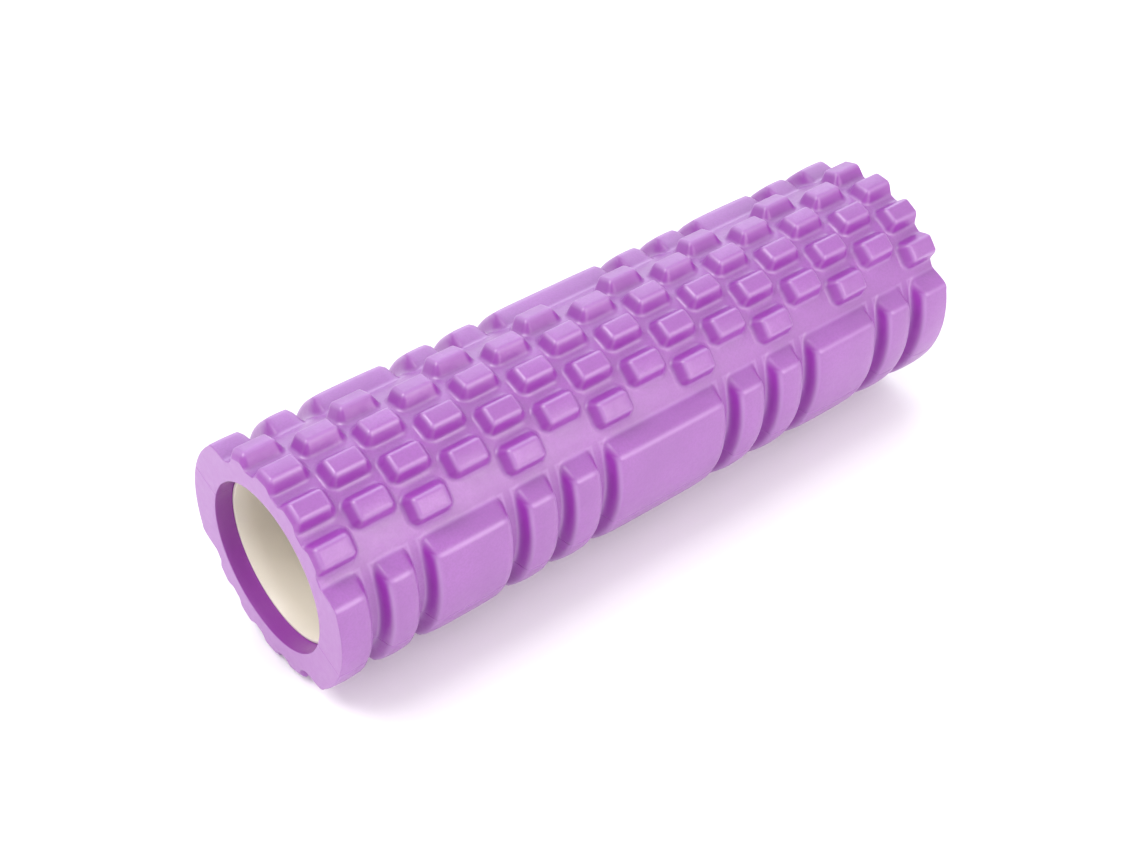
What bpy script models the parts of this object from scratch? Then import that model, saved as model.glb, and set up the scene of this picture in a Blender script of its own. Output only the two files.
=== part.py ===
"""Foam roller: two moulded EVA foam half shells glued round a thin ABS core tube.

The roller lies on a flat floor with its axis along X. Angles round the axis are measured
from straight up (+Z) towards -Y. Each half shell is modelled once in its own frame, with
the middle of its knob field straight up, and is then turned to the roller's lay angle.
"""
import math

import bmesh
import bpy
from mathutils import Matrix, Vector

# Driving dimensions, in metres and degrees.
LENGTH = 0.450              # foam, end face to end face
KNOB_RADIUS = 0.0700        # axis to the corners of the knob crowns: a 140 mm roller
BLOCK_RADIUS = 0.0716       # axis to the crowns of the long blocks beside the seams
FLOOR_RADIUS = 0.0616       # axis to the floor of the grooves
BORE_RADIUS = 0.0500        # inside of the foam
TUBE_WALL = 0.0020
TUBE_RECESS = 0.0105        # the tube stops this far inside each end of the foam
GLUE_GAP = 0.0003           # glue line between foam and tube, and between the half shells

COLUMN_COUNT = 15           # knob columns along the roller
ROW_COUNT = 7               # knob rows round each half shell
COLUMN_STEP = 0.03074
END_DRAW = 0.0022           # how far the first knob column is drawn in from the -X end
ROW_STEP = 11.0             # degrees
KNOB_CROWN_LENGTH = 0.0176
KNOB_BASE_LENGTH = 0.0280
KNOB_CROWN_ARC = 8.0        # degrees
KNOB_BASE_ARC = 18.0

BLOCK_COLUMNS = [(0, 0), (1, 1), (2, 3), (4, 4), (5, 5), (6, 8),
                 (9, 9), (10, 10), (11, 12), (13, 13), (14, 14)]
GROOVE_TOP_WIDTH = 0.0132   # between two blocks, at their crowns
GROOVE_FLOOR_WIDTH = 0.0058
GROOVE_SHIFT = 0.0009       # how far the grooves stand nearer the -X end
BLOCK_CROWN_ARC = 68.0      # degrees, whole block with both half shells together
BLOCK_BASE_ARC = 85.0
BLOCK_FACET = 6.8

SEAM_TURN = ROW_STEP / 2    # the seams lie this far round from the middle of the blocks
LAY_ANGLE = 1.5 * ROW_STEP  # the roller rests on two neighbouring knob rows
FLOOR_FACET = ROW_STEP / 2
ROOT_DEPTH = 0.0010         # how far knobs and blocks reach down into the foam wall
TRIM_MARGIN = 0.010         # how far foam reaches past the faces that trim it
WALL_ARC = 220.0            # degrees of plain foam wall before the seam plane trims it
TUBE_SIDES = 64


def around(x, radius, degrees):
    """A point at distance x along the axis, at a radius and an angle from straight up."""
    angle = math.radians(degrees)
    return Vector((x, -radius * math.sin(angle), radius * math.cos(angle)))


def column_centre(column):
    """Where a column stands; the first two are drawn in a little from the -X end."""
    draw = END_DRAW * max(0, 1 - column / 2)
    return (column - (COLUMN_COUNT - 1) / 2) * COLUMN_STEP + draw


def foam_ring():
    """A length of plain foam wall, a little longer and wider round than a half shell."""
    steps = round(WALL_ARC / FLOOR_FACET)
    first = -FLOOR_FACET * steps / 2
    half_length = LENGTH / 2 + TRIM_MARGIN
    bm = bmesh.new()
    rings = []
    for step in range(steps + 1):
        degrees = first + step * FLOOR_FACET
        corners = [(-half_length, BORE_RADIUS), (-half_length, FLOOR_RADIUS),
                   (half_length, FLOOR_RADIUS), (half_length, BORE_RADIUS)]
        rings.append([bm.verts.new(around(x, radius, degrees)) for x, radius in corners])
    for ring, following in zip(rings, rings[1:]):
        for corner in range(4):
            beside = (corner + 1) % 4
            bm.faces.new((ring[corner], ring[beside], following[beside], following[corner]))
    bm.faces.new(rings[0])
    bm.faces.new(rings[-1])
    bmesh.ops.recalc_face_normals(bm, faces=bm.faces)
    return bm


def add_knob(bm, column, degrees):
    """A pyramid with its top cut off; its sides run on into the foam wall."""
    rise = KNOB_RADIUS - FLOOR_RADIUS
    deeper = 1 + ROOT_DEPTH / rise
    root_length = KNOB_CROWN_LENGTH + (KNOB_BASE_LENGTH - KNOB_CROWN_LENGTH) * deeper
    root_arc = KNOB_CROWN_ARC + (KNOB_BASE_ARC - KNOB_CROWN_ARC) * deeper
    centre = column_centre(column)
    loops = []
    for length, arc, radius in ((root_length, root_arc, FLOOR_RADIUS - ROOT_DEPTH / 2),
                                (KNOB_CROWN_LENGTH, KNOB_CROWN_ARC, KNOB_RADIUS)):
        corners = ((-1, -1), (1, -1), (1, 1), (-1, 1))
        loops.append([bm.verts.new(around(centre + along * length / 2, radius,
                                          degrees + across * arc / 2))
                      for along, across in corners])
    close_between(bm, loops)


def add_block(bm, first_column, last_column, degrees):
    """A long land across a seam: a curved crown, four sloping sides."""
    start = column_centre(first_column - 0.5) - GROOVE_SHIFT
    end = column_centre(last_column + 0.5) - GROOVE_SHIFT
    rise = BLOCK_RADIUS - FLOOR_RADIUS
    lean = (GROOVE_TOP_WIDTH - GROOVE_FLOOR_WIDTH) / 2 / rise
    root_inset = GROOVE_FLOOR_WIDTH / 2 - lean * ROOT_DEPTH
    crown_inset = GROOVE_TOP_WIDTH / 2
    crown_steps = round(BLOCK_CROWN_ARC / BLOCK_FACET)
    angles = [-BLOCK_BASE_ARC / 2]
    angles += [-BLOCK_CROWN_ARC / 2 + step * BLOCK_FACET for step in range(crown_steps + 1)]
    angles += [BLOCK_BASE_ARC / 2]
    root = FLOOR_RADIUS - ROOT_DEPTH
    sides = []
    for along, root_x, crown_x in ((-1, start + root_inset, start + crown_inset),
                                   (1, end - root_inset, end - crown_inset)):
        inner = [bm.verts.new(around(root_x, root, degrees + angle)) for angle in angles]
        outer = [bm.verts.new(around(crown_x, BLOCK_RADIUS, degrees + angle))
                 for angle in angles[1:-1]]
        outer = [inner[0]] + outer + [inner[-1]]
        sides.append((inner, outer))
        for step in range(len(angles) - 1):
            wall = [inner[step], inner[step + 1], outer[step + 1], outer[step]]
            wall = list(dict.fromkeys(wall))
            bm.faces.new(wall)
    for surface in (0, 1):
        near, far = sides[0][surface], sides[1][surface]
        for step in range(len(angles) - 1):
            bm.faces.new((near[step], near[step + 1], far[step + 1], far[step]))


def close_between(bm, loops):
    """Cap two loops of corners and join them with a wall."""
    bottom, top = loops
    bm.faces.new(bottom)
    bm.faces.new(top)
    for corner in range(len(top)):
        beside = (corner + 1) % len(top)
        bm.faces.new((bottom[corner], bottom[beside], top[beside], top[corner]))


def foam_lands():
    """All knobs and blocks that rise from one half shell."""
    bm = bmesh.new()
    for column in range(COLUMN_COUNT):
        for row in range(column % 2, ROW_COUNT, 2):
            add_knob(bm, column, (row - (ROW_COUNT - 1) / 2) * ROW_STEP)
    for side in (-90, 90):
        for first_column, last_column in BLOCK_COLUMNS:
            add_block(bm, first_column, last_column, side)
    bmesh.ops.recalc_face_normals(bm, faces=bm.faces)
    return bm


def trim_box():
    """The space of one half shell: both end faces and the seam plane are its sides."""
    reach = BLOCK_RADIUS + TRIM_MARGIN
    floor = GLUE_GAP / 2
    bm = bmesh.new()
    bmesh.ops.create_cube(bm, size=1.0)
    bmesh.ops.scale(bm, vec=(LENGTH, 2 * reach, reach), verts=bm.verts)
    bmesh.ops.translate(bm, vec=(0, 0, reach / 2 + floor), verts=bm.verts)
    turn = Matrix.Rotation(math.radians(SEAM_TURN), 3, "X")
    bmesh.ops.rotate(bm, cent=(0, 0, 0), matrix=turn, verts=bm.verts)
    return bm


def core_tube():
    """A thin tube, open at both ends."""
    half_length = LENGTH / 2 - TUBE_RECESS
    outer = BORE_RADIUS - GLUE_GAP
    inner = outer - TUBE_WALL
    corners = [(-half_length, outer), (half_length, outer),
               (half_length, inner), (-half_length, inner)]
    bm = bmesh.new()
    rings = []
    for side in range(TUBE_SIDES):
        degrees = 360 * side / TUBE_SIDES
        rings.append([bm.verts.new(around(x, radius, degrees)) for x, radius in corners])
    for side in range(TUBE_SIDES):
        ring, following = rings[side], rings[(side + 1) % TUBE_SIDES]
        for corner in range(4):
            beside = (corner + 1) % 4
            bm.faces.new((ring[corner], ring[beside], following[beside], following[corner]))
    bmesh.ops.recalc_face_normals(bm, faces=bm.faces)
    return bm


def add_object(name, bm):
    mesh = bpy.data.meshes.new(name)
    bm.to_mesh(mesh)
    bm.free()
    return add_mesh_object(name, mesh)


def add_mesh_object(name, mesh):
    thing = bpy.data.objects.new(name, mesh)
    bpy.context.scene.collection.objects.link(thing)
    return thing


def half_shell_mesh():
    """The foam wall with its lands joined on, trimmed to the ends and the seam plane."""
    shell = add_object("foam_wall", foam_ring())
    lands = add_object("foam_lands", foam_lands())
    trim = add_object("shell_trim", trim_box())
    for tool, operation in ((lands, "UNION"), (trim, "INTERSECT")):
        cut = shell.modifiers.new(tool.name, "BOOLEAN")
        cut.solver = "EXACT"
        cut.operation = operation
        cut.object = tool
    graph = bpy.context.evaluated_depsgraph_get()
    mesh = bpy.data.meshes.new_from_object(shell.evaluated_get(graph))
    for helper in (shell, lands, trim):
        bpy.data.objects.remove(helper, do_unlink=True)
    return mesh


def plain_material(name, colour, roughness):
    material = bpy.data.materials.new(name)
    material.use_nodes = True
    shader = material.node_tree.nodes["Principled BSDF"]
    shader.inputs["Base Color"].default_value = (*colour, 1.0)
    shader.inputs["Roughness"].default_value = roughness
    shader.inputs["Metallic"].default_value = 0.0
    return material


def place(thing, turn_degrees, material):
    """Turn a piece about the roller's axis and lift the axis above the floor."""
    lowest_corner = ROW_STEP / 2 - KNOB_CROWN_ARC / 2
    axis_height = KNOB_RADIUS * math.cos(math.radians(lowest_corner))
    thing.location = (0, 0, axis_height)
    thing.rotation_euler = (math.radians(turn_degrees), 0, 0)
    thing.data.materials.clear()
    thing.data.materials.append(material)


def main():
    for thing in list(bpy.data.objects):
        bpy.data.objects.remove(thing, do_unlink=True)

    foam = plain_material("violet_eva_foam", (0.51, 0.19, 0.65), 0.55)
    ivory = plain_material("ivory_abs", (0.72, 0.64, 0.52), 0.42)

    shell_mesh = half_shell_mesh()
    place(add_mesh_object("foam_shell_upper", shell_mesh), LAY_ANGLE, foam)
    place(add_mesh_object("foam_shell_lower", shell_mesh), LAY_ANGLE + 180, foam)

    tube = add_object("core_tube", core_tube())
    tube.data.shade_smooth()
    tube.data.set_sharp_from_angle(angle=math.radians(30))
    place(tube, 0, ivory)


main()
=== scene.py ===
"""Foam roller builder: two moulded foam half shells on a plastic core tube, and a small studio.

The file is laid out as an add-on and run as a script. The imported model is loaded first: it
gives the roller's length, radii and place. Angles round the roller are in degrees from
straight up (+Z) towards -Y. A half shell is worked out with the middle of its knob field
straight up, and is then turned to the roller's lay angle.
"""
import math

import bpy
import numpy as np
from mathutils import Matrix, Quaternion, Vector


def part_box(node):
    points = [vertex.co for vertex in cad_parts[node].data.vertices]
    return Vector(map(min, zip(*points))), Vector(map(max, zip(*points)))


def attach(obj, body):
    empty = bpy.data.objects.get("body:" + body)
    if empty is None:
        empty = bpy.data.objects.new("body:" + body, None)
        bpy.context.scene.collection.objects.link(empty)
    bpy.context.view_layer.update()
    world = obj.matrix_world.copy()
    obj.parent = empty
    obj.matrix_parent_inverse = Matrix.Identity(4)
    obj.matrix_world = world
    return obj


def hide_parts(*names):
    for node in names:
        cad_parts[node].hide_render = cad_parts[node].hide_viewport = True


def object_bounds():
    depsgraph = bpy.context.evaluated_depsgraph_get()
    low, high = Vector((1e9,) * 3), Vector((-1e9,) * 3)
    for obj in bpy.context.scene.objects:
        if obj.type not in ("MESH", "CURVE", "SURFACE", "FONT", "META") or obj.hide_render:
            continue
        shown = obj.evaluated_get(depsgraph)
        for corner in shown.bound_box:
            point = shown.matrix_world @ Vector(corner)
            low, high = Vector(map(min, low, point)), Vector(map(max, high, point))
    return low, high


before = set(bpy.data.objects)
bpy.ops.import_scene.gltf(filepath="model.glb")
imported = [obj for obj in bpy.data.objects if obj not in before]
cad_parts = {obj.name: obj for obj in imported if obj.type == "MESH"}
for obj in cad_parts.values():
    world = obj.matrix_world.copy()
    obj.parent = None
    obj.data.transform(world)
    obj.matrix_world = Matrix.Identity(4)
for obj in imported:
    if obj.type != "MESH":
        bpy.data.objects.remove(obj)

bl_info = {
    "name": "Foam Roller Builder",
    "version": (1, 0, 0),
    "blender": (4, 5, 0),
    "location": "View3D > Sidebar > Foam Roller",
    "description": "Builds a knobbed foam massage roller on a plastic tube, with a small studio",
    "category": "Add Mesh",
}

CAD_LOW, CAD_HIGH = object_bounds()
TUBE_LOW, TUBE_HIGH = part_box("core_tube")

AXIS_HEIGHT = (CAD_LOW.z + CAD_HIGH.z) / 2
HALF_LENGTH = (CAD_HIGH.x - CAD_LOW.x) / 2
KNOB_RADIUS = (CAD_HIGH.z - CAD_LOW.z) / 2
BLOCK_RADIUS = (CAD_HIGH.y - CAD_LOW.y) / 2
TUBE_HALF_LENGTH = (TUBE_HIGH.x - TUBE_LOW.x) / 2
TUBE_RADIUS = (TUBE_HIGH.z - TUBE_LOW.z) / 2

COLUMNS = 15
ROWS = 7
BLOCK_COLUMNS = [(0, 0), (1, 1), (2, 3), (4, 4), (5, 5), (6, 8),
                 (9, 9), (10, 10), (11, 12), (13, 13), (14, 14)]
MILLIMETRE = 0.001
END_OVERHANG = 1.5 * MILLIMETRE     # the end faces cut the outermost blocks this far in
END_EDGE = 0.5 * MILLIMETRE         # round edge where the outside meets an end face
BORE_EDGE = 0.4 * MILLIMETRE        # round edge where the bore meets an end face
SEAM_LIP = 0.3 * MILLIMETRE         # round edge beside a seam

KNOB_CORNER = 1.2 * MILLIMETRE      # radius of a knob's corners, seen from above
KNOB_SHOULDER = 2.2 * MILLIMETRE    # how far the round between crown and wall reaches
KNOB_FILLET = 2.0 * MILLIMETRE      # how far the fillet between wall and floor reaches
KNOB_SAG = 0.3 * MILLIMETRE         # how far a crown sinks at its outline
KNOB_SAG_REACH = 1.5 * MILLIMETRE   # how far in the sinking is felt

BLOCK_CORNER = 0.45                 # radius of a block's corners, in wall runs
BLOCK_SIDE_SHOULDER = 3.2 * MILLIMETRE
BLOCK_END_SHOULDER = 2.4 * MILLIMETRE
BLOCK_FILLET = 1.8 * MILLIMETRE
BLOCK_SAG = 0.9 * MILLIMETRE        # how far a crown sinks at its sides
BLOCK_SAG_REACH = 4.5 * MILLIMETRE
BLOCK_SAG_FADE = 4.0 * MILLIMETRE   # the sag fades out this far before a block's end

# The painted highlight lines along the edges: strength and width at the crown's edge and the wall's
# foot.
KNOB_HIGHLIGHT_LINES = ((1.0, 1.0 * MILLIMETRE), (0.65, 0.8 * MILLIMETRE))
BLOCK_HIGHLIGHT_LINES = ((1.0, 1.1 * MILLIMETRE), (0.9, 1.0 * MILLIMETRE))

LAY_ROWS = 1.5                      # turned this many row steps, so it rests on two knob rows
FACE_DRAW = 0.6                     # share of the seam's lip that shows on the end faces
BORE_RUN_IN = 4.0 * MILLIMETRE      # the bore's even grid lines start this far in
BORE_STEEPNESS = 2.0                # the bore gets the painted shade of a steep moulded wall
TUBE_BEVEL = 0.25 * MILLIMETRE
SHARP_ANGLE = math.radians(50)

# How fine the grids are, as numbers of lines.
GAP_LINES_ALONG, CROWN_LINES_ALONG = 25, 7
GAP_LINES_ROUND, CROWN_LINES_ROUND = 12, 4
COARSE_LINES_LOW, COARSE_LINES_HIGH = 14, 19
BORE_LINES, FACE_LINES, BORE_EDGE_LINES = 25, 6, 5
TUBE_LINES_ALONG, TUBE_LINES_ROUND = 40, 180

# Where the spacing of the grid's lines changes.
CROWN_MARGIN = 1.6 * MILLIMETRE     # the wide spacing stops this far inside a knob's crown
CROWN_TURN = math.radians(2.3)      # and this far round from the crown's middle
SLOPE_MARGIN = math.radians(1.5)    # the fine spacing reaches this far over a block's crown
SLOPE_STEP = math.radians(0.65)     # between two lines on a block's end slope
LEAST_TURN = 0.002                  # radians between the knobs' lines and the slopes' lines
SEAM_MARGIN = math.radians(1.5)     # the wide spacing stops this far from a seam
SEAM_LINES = (0.0, 0.12 * MILLIMETRE, 0.30 * MILLIMETRE, 0.70 * MILLIMETRE)
END_LINES = (1.0, 0.56, 0.24, 0.08)     # distances from an end, in end edges

FLOOR_HALF, FLOOR_LINES = 6.0, 9    # half the floor's side in metres, and its lines
VIEW_TARGET = (-0.0179, 0.0010, AXIS_HEIGHT - 0.0122)


# ---------------------------------------------------------------- settings

class FoamRollerSizes(bpy.types.PropertyGroup):
    """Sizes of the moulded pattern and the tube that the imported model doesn't hold."""
    floor_radius: bpy.props.FloatProperty(
        name="Floor radius", description="Axis to the floor of the grooves",
        default=0.0616, unit="LENGTH")
    glue_gap: bpy.props.FloatProperty(
        name="Glue gap", description="Glue line between foam and tube and along the seams",
        default=0.0003, unit="LENGTH")
    tube_wall: bpy.props.FloatProperty(
        name="Tube wall", description="Wall thickness of the core tube",
        default=0.0020, unit="LENGTH")
    column_step: bpy.props.FloatProperty(
        name="Column step", description="Distance between knob columns along the roller",
        default=0.03074, unit="LENGTH")
    row_step: bpy.props.FloatProperty(
        name="Row step", description="Angle between knob rows",
        default=math.radians(11), unit="ROTATION")
    end_draw: bpy.props.FloatProperty(
        name="End draw", description="How far the first knob column is drawn in from the -X end",
        default=0.0022, unit="LENGTH")
    knob_length: bpy.props.FloatProperty(
        name="Knob crown length", description="Length of a knob's crown along the roller",
        default=0.0186, unit="LENGTH")
    knob_width: bpy.props.FloatProperty(
        name="Knob crown width", description="Width of a knob's crown round the roller",
        default=0.0100, unit="LENGTH")
    knob_run: bpy.props.FloatProperty(
        name="Knob wall run", description="How far a knob's wall leans out, crown to floor",
        default=0.0048, unit="LENGTH")
    block_arc: bpy.props.FloatProperty(
        name="Block crown arc", description="Angle that a block's crown covers",
        default=math.radians(68.4), unit="ROTATION")
    block_run: bpy.props.FloatProperty(
        name="Block end run", description="How far a block's end slope reaches, crown to floor",
        default=0.0105, unit="LENGTH")
    groove_width: bpy.props.FloatProperty(
        name="Groove width", description="Width of the groove between two blocks at their crowns",
        default=0.0140, unit="LENGTH")
    groove_shift: bpy.props.FloatProperty(
        name="Groove shift", description="How far the grooves stand nearer the -X end",
        default=0.0009, unit="LENGTH")
    groove_run: bpy.props.FloatProperty(
        name="Groove wall run", description="How far a block's side wall leans out",
        default=0.0040, unit="LENGTH")


class FoamRollerFinish(bpy.types.PropertyGroup):
    """Colours and grain of the foam and the tube."""
    foam_colour: bpy.props.FloatVectorProperty(
        name="Foam colour", description="Base colour of the EVA foam",
        subtype="COLOR", size=3, min=0, max=1, default=(0.287, 0.084, 0.362))
    # painted shade: a deeper colour on steep walls, standing in for the shade down in the grooves
    foam_wall_shade_colour: bpy.props.FloatVectorProperty(
        name="Foam wall colour", description="Deeper colour of the foam on its smooth steep walls",
        subtype="COLOR", size=3, min=0, max=1, default=(0.260, 0.018, 0.335))
    # partly real, partly painted light: sawn foam is paler, and this colour is paler still to stand
    # in for the light falling on the end faces
    foam_cut_and_lit_colour: bpy.props.FloatVectorProperty(
        name="Foam cut colour", description="Paler colour of the foam on its sawn end faces",
        subtype="COLOR", size=3, min=0, max=1, default=(0.335, 0.108, 0.410))
    # painted highlight: a paler colour laid along crown edges and wall feet, where light catches
    # them
    foam_highlight_colour: bpy.props.FloatVectorProperty(
        name="Foam edge colour", description="Colour of the foam where its edges are pressed smooth",
        subtype="COLOR", size=3, min=0, max=1, default=(0.350, 0.150, 0.430))
    grain_size: bpy.props.FloatProperty(
        name="Grain size", description="Size of the foam skin's fine grain",
        default=0.0007, unit="LENGTH")
    tube_colour: bpy.props.FloatVectorProperty(
        name="Tube colour", description="Base colour of the ABS tube",
        subtype="COLOR", size=3, min=0, max=1, default=(0.73, 0.68, 0.575))


class FoamRollerStage(bpy.types.PropertyGroup):
    """The floor, the light and the camera."""
    floor_colour: bpy.props.FloatVectorProperty(
        name="Floor colour", description="Colour of the plain floor",
        subtype="COLOR", size=3, min=0, max=1, default=(0.92, 0.92, 0.92))
    sky_strength: bpy.props.FloatProperty(
        name="Room light", description="Strength of the even light from all round",
        default=0.86, min=0)
    back_power: bpy.props.FloatProperty(
        name="Back light", description="Power of the large soft light behind and above",
        default=16.0, min=0, unit="POWER")
    end_power: bpy.props.FloatProperty(
        name="End light", description="Power of the soft light above the -X end",
        default=15.5, min=0, unit="POWER")
    front_power: bpy.props.FloatProperty(
        name="Front light", description="Power of the soft light in front",
        default=14.0, min=0, unit="POWER")
    view_azimuth: bpy.props.FloatProperty(
        name="View azimuth", description="Where the camera stands round the roller",
        default=math.radians(-40.15), unit="ROTATION")
    view_elevation: bpy.props.FloatProperty(
        name="View elevation", description="How high the camera stands above the floor",
        default=math.radians(40.10), unit="ROTATION")
    view_roll: bpy.props.FloatProperty(
        name="View roll", description="How far the camera is turned about its line of sight",
        default=math.radians(1.2), unit="ROTATION")
    view_distance: bpy.props.FloatProperty(
        name="View distance", description="Distance from the camera to the point it looks at",
        default=1.067, unit="LENGTH")
    focal_length: bpy.props.FloatProperty(
        name="Focal length", description="The lens, on a 36 mm wide sensor",
        default=57.7, unit="CAMERA")


# ---------------------------------------------------------------- shapes

def smooth_min(first, second, blend):
    """The lower of two heights; where they are closer than `blend`, a parabola joins them."""
    overlap = np.maximum(blend - np.abs(first - second), 0)
    return np.minimum(first, second) - overlap ** 2 / (4 * blend)


def smooth_max(first, second, blend):
    """The higher of two heights, joined in the same way."""
    return -smooth_min(-np.asarray(first), -np.asarray(second), blend)


def rounded_reach(past_end, past_side, corner):
    """Distance outside a rectangle with round corners: negative inside it.

    Takes the distances past the rectangle's ends and past its sides. Outside a corner it is
    the straight-line distance from the corner's centre, less the corner's radius.
    """
    end, side = past_end + corner, past_side + corner
    outside = np.hypot(np.maximum(end, 0), np.maximum(side, 0))
    return outside + np.minimum(np.maximum(end, side), 0) - corner


def land_height(crown, wall, shoulder, fillet):
    """Height of a raised land: a smooth minimum of crown and wall rounds the crown's edge,
    and a smooth maximum with the floor, at height 0, fillets the wall's foot."""
    return smooth_max(smooth_min(wall, crown, shoulder), 0, fillet)


def edge_closeness(past_crown, past_foot, lines):
    """How close the nearest edge is: 1 on it, falling off as a bell curve of the distance.

    Takes the distances past the crown's edge and past the wall's foot, and the strength and
    the width of the painted highlight line along each of these edges.
    """
    bells = [strength * np.exp(-(distance / width) ** 2)
             for distance, (strength, width) in zip((past_crown, past_foot), lines)]
    return np.maximum(*bells)


def pattern_place(column, sizes):
    """Where a column stands: a step apart, the first two drawn in a little from the -X end."""
    draw = sizes.end_draw * np.maximum(0, 1 - np.asarray(column) / 2)
    return (column - (COLUMNS - 1) / 2) * sizes.column_step + draw


def from_nearest(values, places):
    """Distance of each value from the nearest of some places."""
    distance = values[..., None] - places
    nearest = np.abs(distance).argmin(-1)[..., None]
    return np.take_along_axis(distance, nearest, -1)[..., 0]


def knob_field(along, angle, sizes):
    """Height of the knobs and closeness to their edges, for painted highlight lines: two grids of
    like knobs, one offset by half.

    A knob's crown sinks towards its outline by an exponential of the distance. Outside the
    outline a straight wall falls from the rise to nothing over the wall's run.
    """
    arc_radius = (sizes.floor_radius + KNOB_RADIUS) / 2
    rise = KNOB_RADIUS - sizes.floor_radius
    height = np.zeros(np.broadcast(along, angle).shape)
    edge = np.zeros_like(height)
    for offset in (0, 1):
        columns = pattern_place(np.arange(offset, COLUMNS, 2), sizes)
        rows = (np.arange(offset, ROWS, 2) - (ROWS - 1) / 2) * sizes.row_step
        past_end = np.abs(from_nearest(along, columns)) - sizes.knob_length / 2
        past_side = np.abs(from_nearest(angle, rows)) * arc_radius - sizes.knob_width / 2
        reach = rounded_reach(past_end, past_side, KNOB_CORNER)
        crown = rise - KNOB_SAG * np.exp(np.minimum(reach, 0) / KNOB_SAG_REACH)
        wall = rise * (1 - reach / sizes.knob_run)
        height = np.maximum(height, land_height(crown, wall, KNOB_SHOULDER, KNOB_FILLET))
        lines = edge_closeness(reach, reach - sizes.knob_run, KNOB_HIGHLIGHT_LINES)
        edge = np.maximum(edge, lines)
    return height, edge


def block_field(along, angle, sizes):
    """Height of the long blocks, which lie across both seams, and closeness to their edges, for
    painted highlight lines.

    Seen from above, a block is a rectangle with round corners. The distance past its sides
    is counted in groove wall runs and the distance past its ends in block end runs, so one
    wall leans steeply at the sides and gently at the ends. The crown sinks towards the
    sides by an exponential of the distance.
    """
    rise = BLOCK_RADIUS - sizes.floor_radius
    arc_radius = (sizes.floor_radius + BLOCK_RADIUS) / 2
    from_middle = np.abs(np.abs(angle) - math.pi / 2)
    past_end = (from_middle - sizes.block_arc / 2) * arc_radius
    height = np.zeros(np.broadcast(along, angle).shape)
    edge = np.zeros_like(height)
    for first, last in BLOCK_COLUMNS:
        start = pattern_place(first - 0.5, sizes) + sizes.groove_width / 2 - sizes.groove_shift
        finish = pattern_place(last + 0.5, sizes) - sizes.groove_width / 2 - sizes.groove_shift
        if first == 0:
            start = -HALF_LENGTH - END_OVERHANG
        if last == COLUMNS - 1:
            finish = HALF_LENGTH + END_OVERHANG
        past_side = np.abs(along - (start + finish) / 2) - (finish - start) / 2
        share = rounded_reach(past_end / sizes.block_run, past_side / sizes.groove_run,
                              BLOCK_CORNER)
        sag = BLOCK_SAG * np.exp(np.minimum(past_side, 0) / BLOCK_SAG_REACH)
        crown = rise - sag * np.clip(-past_end / BLOCK_SAG_FADE, 0, 1)
        wall = rise * (1 - share)
        shoulder = np.where(past_end > past_side, BLOCK_END_SHOULDER, BLOCK_SIDE_SHOULDER)
        height = np.maximum(height, land_height(crown, wall, shoulder, BLOCK_FILLET))
        past_foot = np.maximum(past_side - sizes.groove_run, past_end - sizes.block_run)
        lines = edge_closeness(np.maximum(past_side, past_end), past_foot, BLOCK_HIGHLIGHT_LINES)
        edge = np.maximum(edge, lines)
    return height, edge


def lines_along(sizes):
    """Where the grid's lines cross the roller: close together on walls, wide apart on crowns."""
    crown = sizes.knob_length / 2 - CROWN_MARGIN
    centres = pattern_place(np.arange(-1, COLUMNS + 1), sizes)
    gaps = np.linspace(centres[:-1] + crown, centres[1:] - crown, GAP_LINES_ALONG, axis=1)
    crowns = np.linspace(centres - crown, centres + crown, CROWN_LINES_ALONG, axis=1)
    lines = np.sort(np.concatenate([gaps.ravel(), crowns[:, 1:-1].ravel()]))
    lines = lines[np.abs(lines) < HALF_LENGTH - 1.4 * END_EDGE]
    edge = HALF_LENGTH - np.array(END_LINES) * END_EDGE
    return np.concatenate([-edge[::-1], lines, edge])


def lines_round(sizes):
    """Angles of the grid's lines from one seam to the other, close together on the knobs."""
    seam_turn = sizes.row_step / 2
    block_middle = math.pi / 2
    rows = (np.arange(-1, ROWS + 1) - (ROWS - 1) / 2) * sizes.row_step
    gaps = np.linspace(rows[:-1] + CROWN_TURN, rows[1:] - CROWN_TURN, GAP_LINES_ROUND, axis=1)
    crowns = np.linspace(rows - CROWN_TURN, rows + CROWN_TURN, CROWN_LINES_ROUND, axis=1)
    fine = np.sort(np.concatenate([gaps.ravel(), crowns[:, 1:-1].ravel()]))
    field = block_middle - sizes.block_arc / 2 + SLOPE_MARGIN
    slope = np.arange(field, fine[-1], -SLOPE_STEP)[::-1]
    fine = fine[np.abs(fine) < slope[0] - LEAST_TURN]
    fine = np.concatenate([-slope[::-1], fine, slope])
    low, high = -block_middle + seam_turn, block_middle + seam_turn
    lip = (sizes.glue_gap / 2 + np.array(SEAM_LINES)) / BLOCK_RADIUS
    coarse_low = np.linspace(low + SEAM_MARGIN, -field, COARSE_LINES_LOW)[:-1]
    coarse_high = np.linspace(field, high - SEAM_MARGIN, COARSE_LINES_HIGH)[1:]
    return np.concatenate([low + lip, coarse_low, fine, coarse_high, high - lip[::-1]])


def round_edge_drop(distance, radius):
    """How far a quarter-circle edge draws back at a distance in from the corner."""
    inside = np.clip(distance / radius, 0, 1)
    return radius * (1 - np.sqrt(1 - (1 - inside) ** 2))


def seam_drop(angle):
    """How far the foam draws back beside a seam: a small round lip along the glue line."""
    low, high = angle[0], angle[-1]
    distance = np.minimum(angle - low, high - angle) * BLOCK_RADIUS
    return round_edge_drop(distance, SEAM_LIP)


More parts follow.
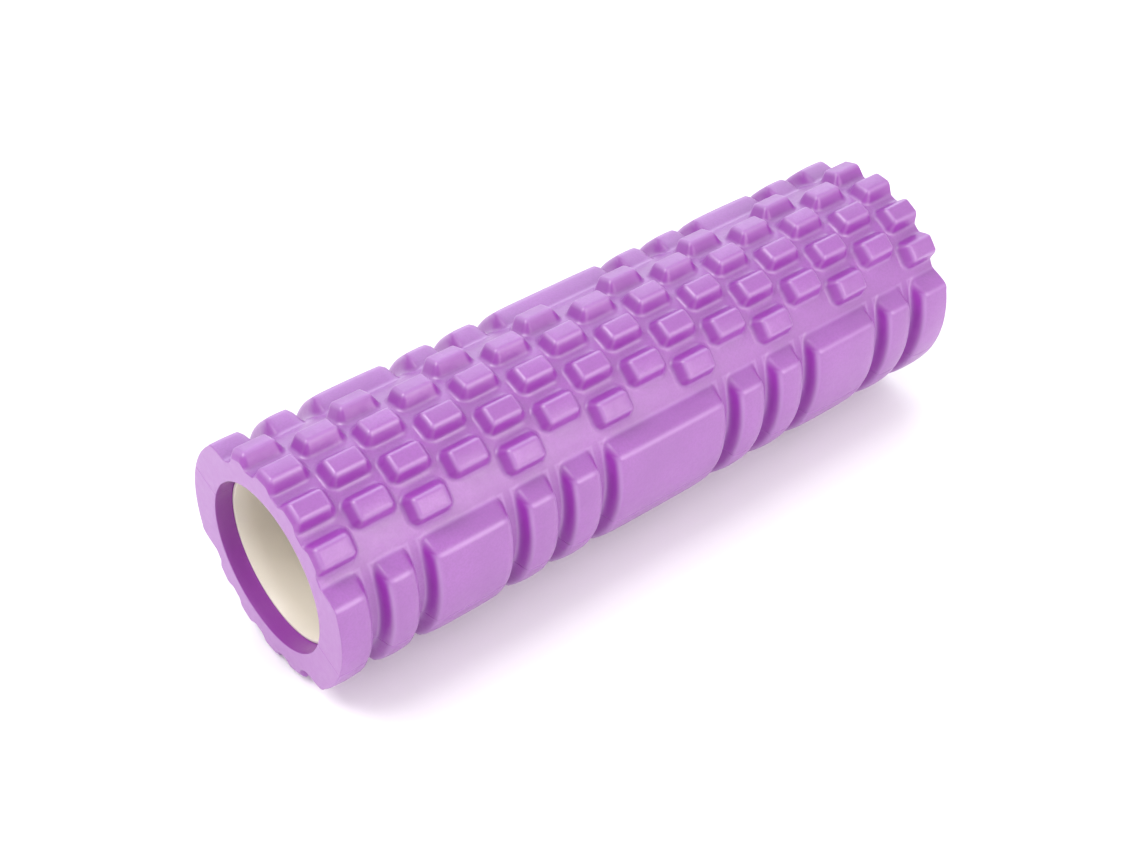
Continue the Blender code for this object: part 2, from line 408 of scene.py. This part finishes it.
def half_shell_points(sizes):
    """Cross-section loops of a half shell, one for each angle.

    A loop runs along the outside from the -X end to the +X end, in over the end face, back
    along the bore and out over the other end face. Outside, the radius is the floor radius
    plus the higher of the knob field and the block field. The ends have a small round edge.

    Three numbers come with each point, for the foam's colours: the edge number is how close
    the nearest edge is, for painted highlight lines; steep_wall is how steep the moulded
    surface is, the hypotenuse of the height's slopes along and round the roller, for painted
    shade on the walls; and sawn_face is 1 on the sawn end faces, which are paler partly as
    sawn foam and partly as painted light.
    """
    angle = lines_round(sizes)
    along = lines_along(sizes)
    knobs, knob_highlight = knob_field(along[None, :], angle[:, None], sizes)
    blocks, block_highlight = block_field(along[None, :], angle[:, None], sizes)
    height = np.maximum(knobs, blocks)
    edge = np.maximum(knob_highlight, block_highlight)
    drop = seam_drop(angle)[:, None]
    end_drop = round_edge_drop(HALF_LENGTH - np.abs(along), END_EDGE)
    outer = sizes.floor_radius + height - drop - end_drop[None, :]
    slope = np.hypot(np.gradient(height, along, axis=1),
                     np.gradient(height, angle * sizes.floor_radius, axis=0))

    bore = TUBE_RADIUS + sizes.glue_gap
    turn = np.linspace(0, math.pi / 2, BORE_EDGE_LINES)
    share = np.linspace(0, 1, FACE_LINES + 1)[:-1]
    near_rim, far_rim = outer[:, :1] - END_EDGE / 2, outer[:, -1:] - END_EDGE / 2
    near_face = near_rim + (bore + BORE_EDGE - near_rim) * share
    far_face = far_rim + (bore + BORE_EDGE - far_rim) * share
    face_end = HALF_LENGTH - drop * FACE_DRAW
    bore_end = HALF_LENGTH - BORE_RUN_IN

    rows = len(angle)
    outer_x = np.tile(along, (rows, 1))
    face_x = np.tile(face_end, (1, FACE_LINES))
    edge_x = face_end - BORE_EDGE * (1 - np.cos(turn))
    edge_radius = np.tile(bore + BORE_EDGE * (1 - np.sin(turn)), (rows, 1))
    bore_x = np.tile(np.linspace(bore_end, -bore_end, BORE_LINES), (rows, 1))
    x = np.concatenate([outer_x, face_x, edge_x, bore_x,
                        -edge_x[:, ::-1], -face_x[:, ::-1]], 1)
    radius = np.concatenate([outer, far_face, edge_radius, np.full_like(bore_x, bore),
                             edge_radius[:, ::-1], near_face[:, ::-1]], 1)

    sawn = np.concatenate([np.ones(FACE_LINES), 1 - turn / turn[-1]])
    sawn = np.concatenate([np.zeros(len(along)), sawn, np.zeros(BORE_LINES), sawn[::-1]])
    sawn = np.tile(sawn, (rows, 1))
    beyond = ((0, 0), (0, x.shape[1] - len(along)))
    steep = np.pad(slope, beyond, constant_values=BORE_STEEPNESS) * (1 - sawn)
    # the edge number lays painted highlight lines; the steepness lays painted shade on the walls
    shades = {"painted_edge_highlight": np.pad(edge, beyond), "steep_wall": steep, "sawn_face": sawn}
    return x, radius, np.broadcast_to(angle[:, None], x.shape), shades


def around(x, radius, angle):
    """Points at a distance along the axis, a radius and an angle from straight up."""
    x, radius, angle = np.broadcast_arrays(x, radius, angle)
    return np.stack([x, -radius * np.sin(angle), AXIS_HEIGHT + radius * np.cos(angle)], -1)


def add_loops(name, points, closed):
    """A piece made of neighbouring loops. An open row of loops gets a flat cap at each end."""
    turns, size = points.shape[:2]
    index = np.arange(turns * size).reshape(turns, size)
    ahead = np.roll(index, -1, axis=1)
    if closed:
        here, there = (index, ahead), (np.roll(index, -1, 0), np.roll(ahead, -1, 0))
    else:
        here, there = (index[:-1], ahead[:-1]), (index[1:], ahead[1:])
    faces = np.stack([here[0], there[0], there[1], here[1]], -1).reshape(-1, 4).tolist()
    if not closed:
        faces += [index[0].tolist(), index[-1, ::-1].tolist()]
    mesh = bpy.data.meshes.new(name)
    mesh.from_pydata(points.reshape(-1, 3), [], faces)
    mesh.update()
    mesh.shade_smooth()
    mesh.set_sharp_from_angle(angle=SHARP_ANGLE)
    piece = bpy.data.objects.new(name, mesh)
    bpy.context.scene.collection.objects.link(piece)
    return piece


def paint_attribute(piece, name, values):
    """Stores one number for each of the mesh's points, for its material to read."""
    layer = piece.data.attributes.new(name, "FLOAT", "POINT")
    layer.data.foreach_set("value", values.ravel().astype(np.float32))


# ---------------------------------------------------------------- materials

class Nodes:
    """A material's node tree with short calls to add and join nodes."""

    def __init__(self, name):
        self.material = bpy.data.materials.new(name)
        self.material.use_nodes = True
        self.tree = self.material.node_tree
        self.shader = self.tree.nodes["Principled BSDF"]
        self.place = self.add("ShaderNodeTexCoord").outputs["Object"]

    def add(self, kind, **settings):
        """A new node of one kind, with its settings."""
        node = self.tree.nodes.new(kind)
        for key, value in settings.items():
            setattr(node, key, value)
        return node

    def join(self, source, target):
        """Links an output to an input."""
        self.tree.links.new(source, target)

    def noise(self, size, detail=3.0, roughness=0.5):
        """Soft clouds about `size` metres across."""
        node = self.add("ShaderNodeTexNoise")
        node.inputs["Scale"].default_value = 1 / size
        node.inputs["Detail"].default_value = detail
        node.inputs["Roughness"].default_value = roughness
        self.join(self.place, node.inputs["Vector"])
        return node.outputs["Fac"]

    def cells(self, size):
        """Distance to the middle of the nearest cell, in a froth of cells about `size` across."""
        node = self.add("ShaderNodeTexVoronoi")
        node.inputs["Scale"].default_value = 1 / size
        self.join(self.place, node.inputs["Vector"])
        return node.outputs["Distance"]

    def between(self, value, low, high, start, end):
        """Maps low..high of a value to start..end, and holds it there beyond."""
        node = self.add("ShaderNodeMapRange")
        self.join(value, node.inputs["Value"])
        for socket, number in zip(("From Min", "From Max", "To Min", "To Max"),
                                  (low, high, start, end)):
            node.inputs[socket].default_value = number
        return node.outputs["Result"]

    def mix(self, factor, first, second):
        """A colour between two others, each of them plain or another node's output."""
        node = self.add("ShaderNodeMix", data_type="RGBA")
        self.join(factor, node.inputs["Factor"])
        for socket, colour in ((node.inputs["A"], first), (node.inputs["B"], second)):
            if isinstance(colour, bpy.types.NodeSocket):
                self.join(colour, socket)
            else:
                socket.default_value = (*colour, 1.0)
        return node.outputs["Result"]

    def bump(self, height, strength, distance, before=None):
        """A normal tilted by a fine relief, on top of the one before it."""
        node = self.add("ShaderNodeBump")
        node.inputs["Strength"].default_value = strength
        node.inputs["Distance"].default_value = distance
        self.join(height, node.inputs["Height"])
        if before is not None:
            self.join(before, node.inputs["Normal"])
        return node.outputs["Normal"]

    def attribute(self, name):
        """One of the numbers stored with the mesh's points."""
        return self.add("ShaderNodeAttribute", attribute_name=name).outputs["Fac"]


def scaled(colour, factor):
    """A lighter or darker colour of the same hue."""
    return tuple(min(1.0, channel * factor) for channel in colour)


def foam_material(finish):
    """Moulded EVA foam: a satin skin with a fine grain.

    It has painted shade on steep walls and a painted highlight along the edges. The sawn end
    faces are paler, partly as sawn foam and partly as painted light.
    """
    nodes = Nodes("violet_eva_foam")
    colour = tuple(finish.foam_colour)
    clouds = nodes.between(nodes.noise(0.035, 4), 0.35, 0.65, 0, 1)
    skin = nodes.mix(clouds, scaled(colour, 0.95), scaled(colour, 1.05))
    freckles = nodes.between(nodes.noise(0.0013, 2), 0.40, 0.62, 0, 0.5)
    skin = nodes.mix(freckles, skin, scaled(colour, 0.86))
    # painted shade: the steeper the wall, the nearer its colour comes to the deeper wall colour
    wall = nodes.between(nodes.attribute("steep_wall"), 1.05, 2.1, 0, 1)
    skin = nodes.mix(wall, skin, tuple(finish.foam_wall_shade_colour))
    # painted highlight: the foam turns paler along crown edges and wall feet
    painted_highlight = nodes.between(nodes.attribute("painted_edge_highlight"), 0.1, 1.0, 0, 0.85)
    skin = nodes.mix(painted_highlight, skin, tuple(finish.foam_highlight_colour))
    # the sawn end faces are paler, partly as sawn foam and partly as painted light
    skin = nodes.mix(nodes.attribute("sawn_face"), skin, tuple(finish.foam_cut_and_lit_colour))
    nodes.join(skin, nodes.shader.inputs["Base Color"])
    rough = nodes.between(nodes.noise(0.004, 3), 0.3, 0.7, 0.36, 0.47)
    nodes.join(rough, nodes.shader.inputs["Roughness"])
    nodes.shader.inputs["Specular IOR Level"].default_value = 0.85
    nodes.shader.inputs["Coat Weight"].default_value = 0.35
    nodes.shader.inputs["Coat Roughness"].default_value = 0.34
    nodes.shader.inputs["Subsurface Weight"].default_value = 0.25
    nodes.shader.inputs["Subsurface Radius"].default_value = (1.0, 0.45, 0.9)
    nodes.shader.inputs["Subsurface Scale"].default_value = 0.0015
    grain = nodes.bump(nodes.cells(finish.grain_size), 0.35, 0.00008)
    skin_bump = nodes.bump(nodes.noise(0.0025, 3), 0.18, 0.00025, grain)
    nodes.join(skin_bump, nodes.shader.inputs["Normal"])
    return nodes.material


def tube_material(finish):
    """Extruded ABS: ivory, smooth, with faint draw lines along the tube."""
    nodes = Nodes("ivory_abs")
    colour = tuple(finish.tube_colour)
    clouds = nodes.between(nodes.noise(0.05, 3), 0.35, 0.65, 0, 1)
    nodes.join(nodes.mix(clouds, scaled(colour, 0.97), scaled(colour, 1.03)),
               nodes.shader.inputs["Base Color"])
    stretch = nodes.add("ShaderNodeMapping")
    stretch.inputs["Scale"].default_value = (0.02, 1.0, 1.0)
    nodes.join(nodes.place, stretch.inputs["Vector"])
    lines = nodes.add("ShaderNodeTexNoise")
    lines.inputs["Scale"].default_value = 700
    lines.inputs["Detail"].default_value = 2
    nodes.join(stretch.outputs["Vector"], lines.inputs["Vector"])
    rough = nodes.between(lines.outputs["Fac"], 0.3, 0.7, 0.34, 0.48)
    nodes.join(rough, nodes.shader.inputs["Roughness"])
    nodes.join(nodes.bump(lines.outputs["Fac"], 0.12, 0.0001), nodes.shader.inputs["Normal"])
    nodes.shader.inputs["Subsurface Weight"].default_value = 0.08
    nodes.shader.inputs["Subsurface Radius"].default_value = (1.0, 0.8, 0.6)
    nodes.shader.inputs["Subsurface Scale"].default_value = 0.001
    return nodes.material


def floor_material(colour):
    """A matt floor with a barely visible cloudiness."""
    nodes = Nodes("pale_floor")
    soft = nodes.between(nodes.noise(0.4, 2), 0.3, 0.7, 0, 1)
    nodes.join(nodes.mix(soft, scaled(colour, 0.995), scaled(colour, 1.005)),
               nodes.shader.inputs["Base Color"])
    nodes.shader.inputs["Roughness"].default_value = 0.9
    nodes.shader.inputs["Specular IOR Level"].default_value = 0.1
    return nodes.material


# ---------------------------------------------------------------- operators

def settle(piece, node, material):
    """Gives a finished piece its material and its place in the frame."""
    piece.data.materials.append(material)
    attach(piece, "root")
    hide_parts(node)


class FOAM_ROLLER_OT_half_shells(bpy.types.Operator):
    """Add the two moulded foam half shells; one is the other turned half a turn."""
    bl_idname = "foam_roller.half_shells"
    bl_label = "Foam half shells"

    def execute(self, context):
        sizes = context.scene.foam_roller_sizes
        x, radius, angle, shades = half_shell_points(sizes)
        lay = LAY_ROWS * sizes.row_step
        material = foam_material(context.scene.foam_roller_finish)
        for name, turn in (("upper", lay), ("lower", lay + math.pi)):
            points = around(x, radius, angle + turn)
            piece = add_loops(f"foam_half_{name}", points, closed=False)
            for shade, values in shades.items():
                paint_attribute(piece, shade, values)
            settle(piece, f"foam_shell_{name}", material)
        return {"FINISHED"}


class FOAM_ROLLER_OT_core_tube(bpy.types.Operator):
    """Add the thin plastic core tube with its cut ends."""
    bl_idname = "foam_roller.core_tube"
    bl_label = "Core tube"

    def execute(self, context):
        sizes = context.scene.foam_roller_sizes
        end = TUBE_HALF_LENGTH
        inner = TUBE_RADIUS - sizes.tube_wall
        rim = [TUBE_RADIUS - TUBE_BEVEL, inner + TUBE_BEVEL]
        long_run = np.linspace(-end + TUBE_BEVEL, end - TUBE_BEVEL, TUBE_LINES_ALONG)
        x = np.concatenate([long_run, [end, end], long_run[::-1], [-end, -end]])
        radius = np.concatenate([np.full(TUBE_LINES_ALONG, TUBE_RADIUS), rim,
                                 np.full(TUBE_LINES_ALONG, inner), rim[::-1]])
        angle = np.linspace(0, 2 * math.pi, TUBE_LINES_ROUND, endpoint=False)
        points = around(x[None, :], radius[None, :], angle[:, None])
        piece = add_loops("core_tube_drawn", points, closed=True)
        settle(piece, "core_tube",
               tube_material(context.scene.foam_roller_finish))
        return {"FINISHED"}


class FOAM_ROLLER_OT_stage(bpy.types.Operator):
    """Add the floor, the lights and the camera."""
    bl_idname = "foam_roller.stage"
    bl_label = "Studio"

    def execute(self, context):
        stage = context.scene.foam_roller_stage
        add_floor(stage)
        add_room_light(context.scene, stage.sky_strength)
        add_soft_light("back_light", (0.85, 1.25, 1.15), 1.8, stage.back_power, (0.86, 0.92, 1.0))
        add_soft_light("end_light", (-0.95, 0.22, 1.45), 0.8, stage.end_power, (1.0, 0.98, 1.0))
        add_soft_light("front_light", (0.30, -1.30, 0.75), 1.2, stage.front_power,
                       (1.0, 0.94, 0.95))
        add_camera(context.scene, stage)
        context.scene.view_settings.view_transform = "Standard"
        return {"FINISHED"}


def add_floor(stage):
    """A wide flat sheet just under the roller."""
    across = np.linspace(-FLOOR_HALF, FLOOR_HALF, FLOOR_LINES)
    grid = np.stack(np.meshgrid(across, across, indexing="ij"), -1).reshape(-1, 2)
    points = np.column_stack([grid, np.full(len(grid), CAD_LOW.z)])
    index = np.arange(FLOOR_LINES ** 2).reshape(FLOOR_LINES, FLOOR_LINES)
    faces = np.stack([index[:-1, :-1], index[1:, :-1], index[1:, 1:], index[:-1, 1:]], -1)
    mesh = bpy.data.meshes.new("studio_floor")
    mesh.from_pydata(points, [], faces.reshape(-1, 4).tolist())
    mesh.materials.append(floor_material(tuple(stage.floor_colour)))
    floor = bpy.data.objects.new("studio_floor", mesh)
    bpy.context.scene.collection.objects.link(floor)


def add_room_light(scene, strength):
    """Even white light from all round."""
    world = bpy.data.worlds.new("soft_room")
    world.use_nodes = True
    sky = world.node_tree.nodes["Background"]
    sky.inputs["Color"].default_value = (1.0, 1.0, 1.0, 1.0)
    sky.inputs["Strength"].default_value = strength
    scene.world = world


def add_soft_light(name, place, size, power, colour):
    """A square soft box that faces the roller's middle."""
    data = bpy.data.lights.new(name, "AREA")
    data.color = colour
    data.shape = "SQUARE"
    data.size = size
    data.energy = power
    lamp = bpy.data.objects.new(name, data)
    lamp.location = place
    aim = Vector((0, 0, AXIS_HEIGHT)) - lamp.location
    lamp.rotation_euler = aim.to_track_quat("-Z", "Y").to_euler()
    bpy.context.scene.collection.objects.link(lamp)


def add_camera(scene, stage):
    """The camera stands back from a point near the roller's middle."""
    data = bpy.data.cameras.new("studio_camera")
    data.lens = stage.focal_length
    data.sensor_width = 36
    data.clip_start, data.clip_end = 0.01, 50
    camera = bpy.data.objects.new("studio_camera", data)
    level = math.cos(stage.view_elevation)
    back = Vector((math.sin(stage.view_azimuth) * level,
                   -math.cos(stage.view_azimuth) * level,
                   math.sin(stage.view_elevation)))
    target = Vector(VIEW_TARGET)
    camera.location = target + back * stage.view_distance
    roll = Quaternion((0, 0, 1), stage.view_roll)
    camera.rotation_euler = ((-back).to_track_quat("-Z", "Y") @ roll).to_euler()
    scene.collection.objects.link(camera)
    scene.camera = camera


class FOAM_ROLLER_PT_panel(bpy.types.Panel):
    """Lists the roller's pieces, sizes and colours in the sidebar."""
    bl_idname = "FOAM_ROLLER_PT_panel"
    bl_label = "Foam Roller"
    bl_space_type = "VIEW_3D"
    bl_region_type = "UI"
    bl_category = "Foam Roller"

    def draw(self, context):
        scene = context.scene
        for operator in (FOAM_ROLLER_OT_core_tube, FOAM_ROLLER_OT_half_shells,
                         FOAM_ROLLER_OT_stage):
            self.layout.operator(operator.bl_idname)
        for group in (scene.foam_roller_sizes, scene.foam_roller_finish,
                      scene.foam_roller_stage):
            box = self.layout.box()
            for name in group.__annotations__:
                box.prop(group, name)


CLASSES = (FoamRollerSizes, FoamRollerFinish, FoamRollerStage, FOAM_ROLLER_OT_core_tube,
           FOAM_ROLLER_OT_half_shells, FOAM_ROLLER_OT_stage, FOAM_ROLLER_PT_panel)


def register():
    """Registers the classes and hangs the three groups of settings on the scene."""
    for kind in CLASSES:
        bpy.utils.register_class(kind)
    bpy.types.Scene.foam_roller_sizes = bpy.props.PointerProperty(type=FoamRollerSizes)
    bpy.types.Scene.foam_roller_finish = bpy.props.PointerProperty(type=FoamRollerFinish)
    bpy.types.Scene.foam_roller_stage = bpy.props.PointerProperty(type=FoamRollerStage)


def unregister():
    """Takes the settings and the classes away again."""
    del bpy.types.Scene.foam_roller_stage
    del bpy.types.Scene.foam_roller_finish
    del bpy.types.Scene.foam_roller_sizes
    for kind in reversed(CLASSES):
        bpy.utils.unregister_class(kind)


def main():
    """Builds every piece."""
    register()
    bpy.ops.foam_roller.core_tube()
    bpy.ops.foam_roller.half_shells()
    bpy.ops.foam_roller.stage()


if __name__ == "__main__":
    main()
